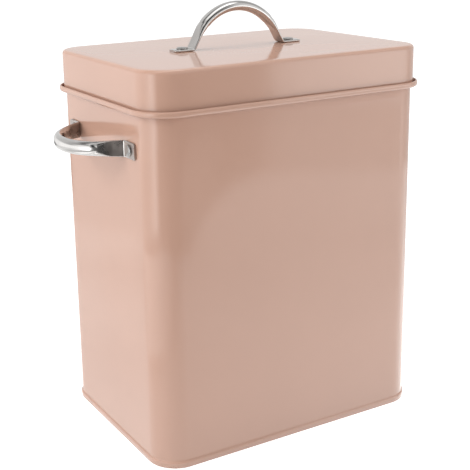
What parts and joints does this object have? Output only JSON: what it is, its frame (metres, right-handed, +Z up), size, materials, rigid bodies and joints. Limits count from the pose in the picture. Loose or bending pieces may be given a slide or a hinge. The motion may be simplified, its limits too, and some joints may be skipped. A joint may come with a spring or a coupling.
{
  "type": "laundry powder container",
  "caption": "Tall steel box for washing powder with rounded corners, a lift-off lid seated in a gutter rim, and riveted tube handles on its sides and lid.",
  "frame": {"origin": "middle of the base, on the surface the container stands on", "axes": "+Z up, +X to the container's right seen from its front, front face at -Y, side handles at -X and +X"},
  "size_m": [0.247, 0.1424, 0.2666],
  "materials": {
    "coat": "smooth semi-gloss powder coat, pale pink",
    "polished_steel": "mirror polished",
    "rivet_steel": "satin"
  },
  "bodies": {
    "container": {"base_panel": "coat", "body_wall": "coat", "neck_collar": "coat", "left_handle": "polished_steel", "left_handle_rivets": "rivet_steel", "right_handle": "polished_steel", "right_handle_rivets": "rivet_steel"},
    "lid": {"lid_shell": "coat", "lid_handle": "polished_steel", "lid_handle_rivets": "rivet_steel"}
  },
  "joints": [
    {"name": "lid_lift", "type": "slide", "parent": "container", "child": "lid", "axis": [0, 0, 1], "range_m": [0, 0.1]}
  ]
}
